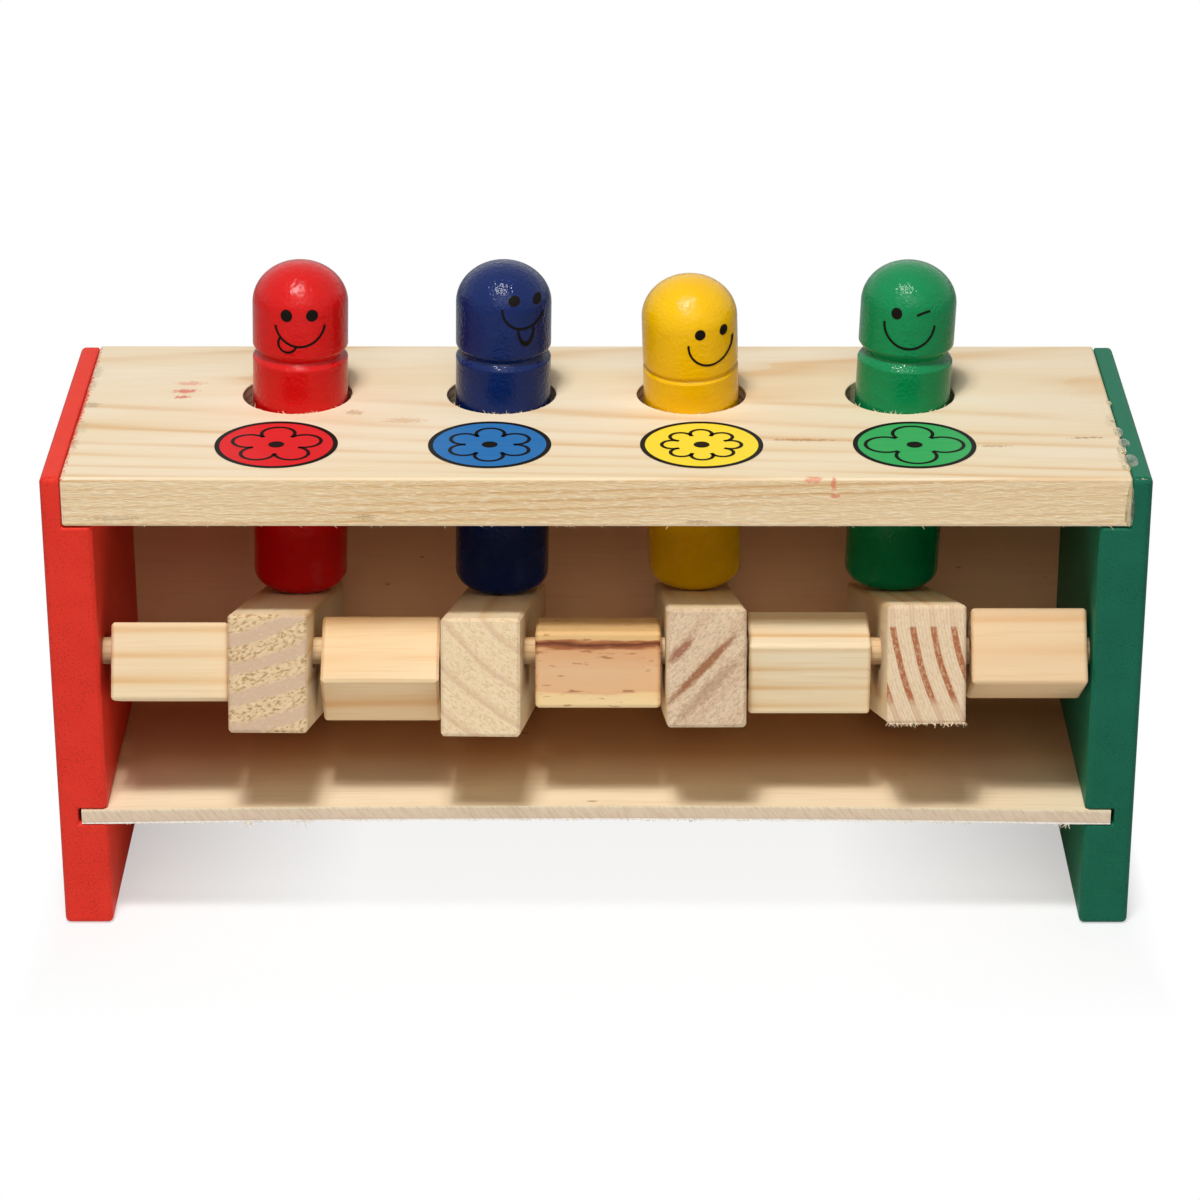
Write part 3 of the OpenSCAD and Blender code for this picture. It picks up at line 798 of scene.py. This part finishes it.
def make_face(colour, black):
    """The face drawn on a peg's head, as a thin film of ink that follows the surface."""
    seat, length = peg_frame(colour)
    face = FACES[colour]
    shape = bmesh.new()
    for x, down, wide, tall in face["eyes"]:
        draw_dot(shape, x * MM, -down * MM, wide * MM, tall / wide)
    for part in ("smile", "tongue", "wink"):
        if part in face:
            # A narrow tongue is drawn as a round one and then pulled long.
            pull = face.get("narrow", 1) if part == "tongue" else 1
            points = [Vector((x * MM, -down * MM / pull)) for x, down in face[part]]
            drawn = draw_curve(shape, points, LINE_WIDTH, steps=40)
            bmesh.ops.scale(shape, vec=(1, pull, 1), verts=drawn)
    bmesh.ops.subdivide_edges(shape, edges=shape.edges, cuts=1, use_grid_fill=True)
    for vert in shape.verts:
        height = length + vert.co.y
        reach = peg_radius(height, length, NECK_DEPTH[colour]) + FACE_FILM
        across = max(-reach * FACE_REACH, min(reach * FACE_REACH, vert.co.x))
        vert.co = Vector((across, -sqrt(reach ** 2 - across ** 2), height))
    shape.normal_update()
    inward = [film for film in shape.faces if film.normal.y > 0]
    bmesh.ops.reverse_faces(shape, faces=inward)
    bmesh.ops.transform(shape, matrix=seat, verts=shape.verts)
    finish_mesh(colour + "_peg_face", shape, [black], colour + "_peg")


PETALS = {"red": 5, "blue": 6, "yellow": 8, "green": 4}
# Shares of the disc's radius: how far out the petals' middles are, and the dot in the middle.
PETAL_OUT = 0.47
DOT_SHARE = 0.13
# Petals are a little slimmer than their room, and open towards the middle.
PETAL_ROOM = 0.98
PETAL_SWEEP = radians(250)
PRINT_LINE = 0.75 * MM
PRINT_RIM = 1.0 * MM


def make_print(colour, tone, black):
    """A printed disc: coloured ink with a black rim and a plain ring of petals."""
    x = PRINT_ACROSS[colour]
    y = BOARD_LOW.y + PRINT_FROM_FRONT
    top = BOARD_HIGH.z
    fill = bmesh.new()
    bmesh.ops.create_circle(fill, cap_ends=True, segments=96, radius=PRINT_RADIUS - PRINT_LINE,
                            matrix=Matrix.Translation((x, y, top + INK_FILM)))
    finish_mesh(colour + "_print", fill, [tone], "bench")
    lines = bmesh.new()
    draw_arc(lines, Vector((0, 0)), PRINT_RADIUS - PRINT_RIM / 2, 0, tau, PRINT_RIM, steps=96)
    count = PETALS[colour]
    for i in range(count):
        turn = tau * i / count + pi / 2
        reach = PRINT_RADIUS * PETAL_OUT
        centre = Vector((cos(turn), sin(turn))) * reach
        wide = reach * sin(pi / count) * PETAL_ROOM
        draw_arc(lines, centre, wide, turn - PETAL_SWEEP / 2, PETAL_SWEEP, PRINT_LINE, steps=28)
    draw_dot(lines, 0, 0, PRINT_RADIUS * DOT_SHARE)
    bmesh.ops.translate(lines, vec=(x, y, top + INK_FILM * 2), verts=lines.verts)
    lines.normal_update()
    downward = [film for film in lines.faces if film.normal.z < 0]
    bmesh.ops.reverse_faces(lines, faces=downward)
    finish_mesh(colour + "_print_lines", lines, [black], "bench")


# Dried glue: middles and half sizes in millimetres.
GLUE_DROPS = (
    ((105.6, 7.7), (0.55, 1.3, 0.3)), ((105.3, -2.0), (0.5, 1.2, 0.3)),
    ((105.7, -8.2), (1.0, 2.6, 0.4)), ((106.2, -14.2), (1.2, 2.4, 0.5)),
    ((105.3, -18.0), (1.0, 2.2, 0.4)), ((106.6, -23.4), (1.4, 3.4, 0.5)),
    ((105.2, -27.0), (0.8, 2.0, 0.4)),
)
# The drop that ran down the joint's front, in millimetres: its middle in X and Z, its half height,
# its half width and how much it widens downwards. RUN_FLAT is its depth as a share of its width.
RUN_X = 105.6
RUN_Z = 94.6
RUN_HALF = 4.9
RUN_WIDE = 0.85
RUN_TAPER = 0.4
RUN_FLAT = 0.6
# Where the shelf's front edge is torn, and how long the fibres are there.
TUFTS = ((-89, 0.9), (-84, 1.2), (-80, 0.8), (-71.5, 2.4), (-70.4, 2.8), (-61, 2.1), (-59.4, 1.7),
         (-25, 0.8), (-14, 0.9), (-5, 0.8), (10.5, 1.0), (19.5, 1.0), (30, 0.8), (63.5, 1.1),
         (70, 1.0), (73, 0.8), (76, 1.1), (83.7, 0.9), (94.5, 1.2), (96.5, 1.5))
# How many torn fibres each hole's rim, the board's front edge, the green rocker's lower edge and
# each of the shelf's tufts has, and how many short ones lie along the shelf.
HOLE_FIBRES = 22
EDGE_FIBRES = 46
ROCKER_FIBRES = 90
TUFT_FIBRES = 6
SHELF_FUZZ = 260


def add_fibre(shape, root, reach, thick):
    """A torn fibre: a thin three-sided spike from its root along its reach."""
    turn = Vector((0, 0, 1)).rotation_difference(reach.normalized()).to_matrix().to_4x4()
    bmesh.ops.create_cone(shape, cap_ends=True, segments=3, radius1=thick, radius2=thick * 0.25,
                          depth=reach.length, matrix=Matrix.Translation(root + reach / 2) @ turn)


def make_board_fibres():
    """The slivers that the drill and the saw left on the holes' front rims and the front edge."""
    chance = Random(11)
    shape = bmesh.new()
    for x, y in HOLE_PLACES.values():
        for _ in range(HOLE_FIBRES):
            turn = radians(chance.gauss(270, 32))
            outward = Vector((cos(turn), sin(turn), 0))
            root = Vector((x, y, BOARD_HIGH.z - 0.1 * MM)) + outward * (HOLE_RADIUS + 0.05 * MM)
            lean = Vector((-outward.y, outward.x, 0)) * chance.uniform(-1, 1)
            reach = (lean + outward * chance.uniform(-0.25, 0.1) + Vector((0, 0, 0.4))).normalized()
            add_fibre(shape, root, reach * chance.uniform(0.3, 1.0) * MM, thick=0.07 * MM)
    for _ in range(EDGE_FIBRES):
        root = Vector((chance.uniform(-104, 104) * MM, BOARD_LOW.y + 0.3 * MM,
                       BOARD_LOW.z + 0.1 * MM))
        reach = Vector((chance.uniform(-0.7, 0.7), chance.uniform(-0.6, 0),
                        chance.uniform(-0.8, 0)))
        add_fibre(shape, root, reach * chance.uniform(0.4, 1.0) * MM, thick=0.08 * MM)
    wood = pine("torn_pine_fibres", Matrix(), BOARD_WOOD,
                ("#F4E6CA", "#EDDAB6", "#E2C59A", "#EBD5AE"))
    finish_mesh("board_fibres", shape, [wood], "bench")


def make_rocker_fibres():
    """The fuzz that the saw left along the lower front edge of the green rocker."""
    chance = Random(3)
    shape = bmesh.new()
    block = merged_copy("rocker_green")
    seat = grain_frame(block)
    half = [max(abs((seat.inverted() @ vert.co)[i]) for vert in block.verts) for i in range(3)]
    block.free()
    for _ in range(ROCKER_FIBRES):
        across = chance.uniform(-0.98, 0.98) * half[1]
        root = Vector((-half[0] + 0.3 * MM, across, -half[2] + 0.3 * MM))
        reach = Vector((-chance.uniform(0, 0.6), chance.uniform(-0.7, 0.7),
                        -chance.uniform(0.1, 1)))
        reach = seat.to_3x3() @ reach.normalized()
        add_fibre(shape, seat @ root, reach * chance.uniform(0.4, 1.3) * MM, thick=0.1 * MM)
    wood = pine("torn_end_fibres", Matrix(), BOARD_WOOD,
                ("#EEDCC0", "#E6D0B0", "#D9BC96", "#E9D5B4"))
    finish_mesh("green_rocker_fibres", shape, [wood], "green_rocker")


def make_shelf_fibres():
    """The white fibres that hang from the shelf's lower front edge, in tufts and as fuzz."""
    chance = Random(5)
    shape = bmesh.new()
    spots = [(tuft + chance.gauss(0, 0.5), chance.uniform(0.3, 1.0) * long) for tuft, long in TUFTS
             for _ in range(TUFT_FIBRES)]
    spots += [(chance.uniform(-99, 99), chance.uniform(0.2, 0.6)) for _ in range(SHELF_FUZZ)]
    for across, long in spots:
        x = max(-99.5, min(99.5, across)) * MM
        bow = SHELF_BOW * (1 - (x / HALF_SPAN) ** 2)
        root = Vector((x, SHELF_LOW.y + 0.1 * MM, SHELF_LOW.z + bow + 0.1 * MM))
        reach = Vector((chance.uniform(-1.2, 1.2), chance.uniform(-0.5, 0.1),
                        chance.uniform(-1, -0.3)))
        add_fibre(shape, root, reach.normalized() * long * MM, thick=0.12 * MM)
    wood = pine("torn_veneer_fibres", Matrix(), BOARD_WOOD,
                ("#F2EADC", "#EBE0CE", "#DFCFB6", "#E6D8C2"))
    finish_mesh("shelf_fibres", shape, [wood], "bench")


def make_glue():
    """The glue drops on the right end's joint, and the long drop at the joint's front."""
    shape = bmesh.new()
    for (x, y), half in GLUE_DROPS:
        size = Matrix.Diagonal([v * MM for v in half] + [1])
        place = Matrix.Translation((x * MM, y * MM, BOARD_HIGH.z - 0.1 * MM)) @ size
        bmesh.ops.create_uvsphere(shape, u_segments=28, v_segments=18, radius=1, matrix=place)
    drop = bmesh.ops.create_uvsphere(shape, u_segments=24, v_segments=24, radius=1)["verts"]
    for vert in drop:
        wide = RUN_WIDE - RUN_TAPER * vert.co.z
        vert.co = Vector((RUN_X * MM + vert.co.x * wide * MM,
                          BOARD_LOW.y + vert.co.y * wide * RUN_FLAT * MM,
                          RUN_Z * MM + vert.co.z * RUN_HALF * MM))
    finish_mesh("glue_drops", shape, [dried_glue("dried_glue")], "bench")


make_board()
RED_FACE = panel_paint("red_satin_paint", "#EE4232", "#E43928", "#B02A20", pitted=0.12)
RED_EDGE = panel_paint("red_paint_on_sawn_edge", "#E73C2D", "#DC3225", "#A0241A", pitted=0.42)
GREEN_FACE = panel_paint("green_satin_paint", "#1F7456", "#1A694D", "#144A38", pitted=0.12)
# Chipped paint at the top of the right panel's front edge.
CHIP = (((108.4, -32.7, 100.0), (1.9, 0.5, 0.45), 0, "#E6D9AE", 0.9),
        ((109.9, -32.6, 99.9), (0.7, 0.9, 0.6), 0, "#F0E0B4", 1.0))
GREEN_EDGE = panel_paint("green_paint_on_sawn_edge", "#1D6A51", "#185E47", "#0F3A2B", pitted=0.35,
                         stains=CHIP)
make_panel("left", "left_end_panel", RED_FACE, RED_EDGE)
make_panel("right", "right_end_panel", GREEN_FACE, GREEN_EDGE)
make_shelf()
make_back()
make_board_fibres()
make_shelf_fibres()
make_rocker_fibres()
make_glue()
dowel = frame["nodes"]["pivot_dowel"]
dowel.data.materials.clear()
dowel_middle = Matrix.Translation(sum(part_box("pivot_dowel"), Vector()) / 2)
dowel.data.materials.append(pine("turned_beech_rod", dowel_middle, {"pith": (0, 4), "ring": 1.5},
                                 ("#E3C79E", "#D8B98C", "#C49A69", "#B98E5E")))
for colour, block in ROCKERS.items():
    make_block(colour + "_rocker", "rocker_" + colour, colour + "_rocker", block)
for number, block in SPACERS.items():
    make_block(f"spacer_{number}_bar", f"spacer_{number}", f"spacer_{number}_block", block)

BLACK_INK = ink("black_ink", "#0F0C0A", "#1C1814")
PEG_TONES = {"red": ("#DC1412", "#CE0E0D"), "blue": ("#0A2562", "#061F55"),
             "yellow": ("#FAC600", "#F2B600"), "green": ("#048C51", "#027F47")}
PRINT_TONES = {"red": ("#E42428", "#DA3436"), "blue": ("#266CB0", "#3C7AB4"),
               "yellow": ("#FFDD2C", "#FADF50"), "green": ("#2EA554", "#4CB068")}
for colour in COLOURS:
    seat, _ = peg_frame(colour)
    make_peg(colour, gloss_paint(colour + "_enamel", *PEG_TONES[colour], seat))
    make_face(colour, BLACK_INK)
    make_print(colour, ink(colour + "_ink", *PRINT_TONES[colour]), BLACK_INK)


def make_floor():
    """A plain white floor that runs out of view and keeps the object's shadow."""
    shape = bmesh.new()
    bmesh.ops.create_grid(shape, x_segments=1, y_segments=1, size=4.0)
    mesh = bpy.data.meshes.new("floor")
    shape.to_mesh(mesh)
    shape.free()
    floor = bpy.data.objects.new("floor", mesh)
    bpy.context.scene.collection.objects.link(floor)
    material, put, place = new_material("matt_white_paper_floor")
    tooth = put("TexNoise", {"Vector": place, "Scale": 1 / (1.5 * MM)})
    relief = put("Bump", {"Strength": 0.05, "Distance": 0.1 * MM, "Height": tooth})
    paper = put("BsdfPrincipled", {"Base Color": srgb("#FAFCFC"), "Roughness": 0.9,
                                   "Normal": relief, "Specular IOR Level": 0.1})
    lift = put("Emission", {"Color": (1, 1, 1, 1), "Strength": 1.0})
    rays = put("LightPath")
    # Under the bench the paper takes its shadow, most of all near the end panels' feet. Outside
    # them it turns into the white backdrop. Places are in metres.
    parts = put("SeparateXYZ", {"Vector": place})
    side = put("Math", {0: parts.outputs["X"]}, operation="ABSOLUTE")
    foot = put("MapRange", {"Value": side, "From Min": 0.05, "From Max": 0.1, "To Min": 0.88,
                            "To Max": 0.5})
    past = put("MapRange", {"Value": side, "From Min": 0.108, "From Max": 0.116})
    ahead = put("MapRange", {"Value": parts.outputs["Y"], "From Min": -0.036, "From Max": -0.075})
    behind = put("MapRange", {"Value": parts.outputs["Y"], "From Min": 0.045, "From Max": 0.08})
    ends = put("Math", {0: ahead, 1: behind}, operation="MAXIMUM")
    outside = put("Math", {0: past, 1: ends}, operation="MAXIMUM")
    share = put("MapRange", {"Value": outside, "To Min": foot, "To Max": 1.0})
    seen = put("Math", {0: rays.outputs["Is Camera Ray"], 1: share}, operation="MULTIPLY")
    both = put("MixShader", {0: seen, 1: paper, 2: lift})
    put("OutputMaterial", {"Surface": both})
    mesh.materials.append(material)


# Where the two panels hang and what they point at, in metres.
TOP_PLACE = (-0.1, -0.41, 1.05)
FRONT_PLACE = (0.0, -1.0, 0.85)
AIM = (0, 0, 0.05)


def make_lamp(name, place, wide, high, power):
    """A soft studio panel that points at the bench."""
    lamp = bpy.data.lights.new(name, "AREA")
    lamp.shape = "RECTANGLE"
    lamp.size = wide
    lamp.size_y = high
    lamp.energy = power
    holder = bpy.data.objects.new(name, lamp)
    holder.location = place
    holder.rotation_euler = (Vector(AIM) - Vector(place)).to_track_quat("-Z", "Y").to_euler()
    bpy.context.scene.collection.objects.link(holder)


def make_light():
    """A steep soft panel with a small hot lamp in it, a broad fill in front, and a dim room."""
    make_lamp("top_panel", TOP_PLACE, wide=0.27, high=0.22, power=7.5)
    make_lamp("hot_lamp", TOP_PLACE, wide=0.06, high=0.06, power=2.2)
    make_lamp("front_panel", FRONT_PLACE, wide=1.0, high=0.5, power=3.4)
    world = bpy.data.worlds.new("white_studio")
    bpy.context.scene.world = world
    world.use_nodes = True
    world.node_tree.nodes.clear()
    put = partial(add_node, world.node_tree)
    rays = put("LightPath")
    seen = put("Math", {0: rays.outputs["Is Camera Ray"], 1: rays.outputs["Is Glossy Ray"]},
               operation="MAXIMUM")
    through = put("Math", {0: seen, 1: rays.outputs["Is Transmission Ray"]}, operation="MAXIMUM")
    room = put("Background", {"Color": (1, 1, 1, 1), "Strength": 0.025})
    white = put("Background", {"Color": (1, 1, 1, 1), "Strength": 1.0})
    both = put("MixShader", {0: through, 1: room, 2: white})
    put("OutputWorld", {"Surface": both})


def make_camera():
    """The photograph's view: from in front and above, with a long lens."""
    lens = bpy.data.cameras.new("camera")
    lens.lens = 122.46
    lens.sensor_width = 36
    camera = bpy.data.objects.new("camera", lens)
    camera.location = (1.55 * MM, -775.5 * MM, 410.2 * MM)
    camera.rotation_euler = Euler((radians(90 - 24.375), 0, radians(0.058)))
    bpy.context.scene.collection.objects.link(camera)
    bpy.context.scene.camera = camera


make_floor()
make_light()
make_camera()
bpy.context.scene.view_settings.view_transform = "Standard"
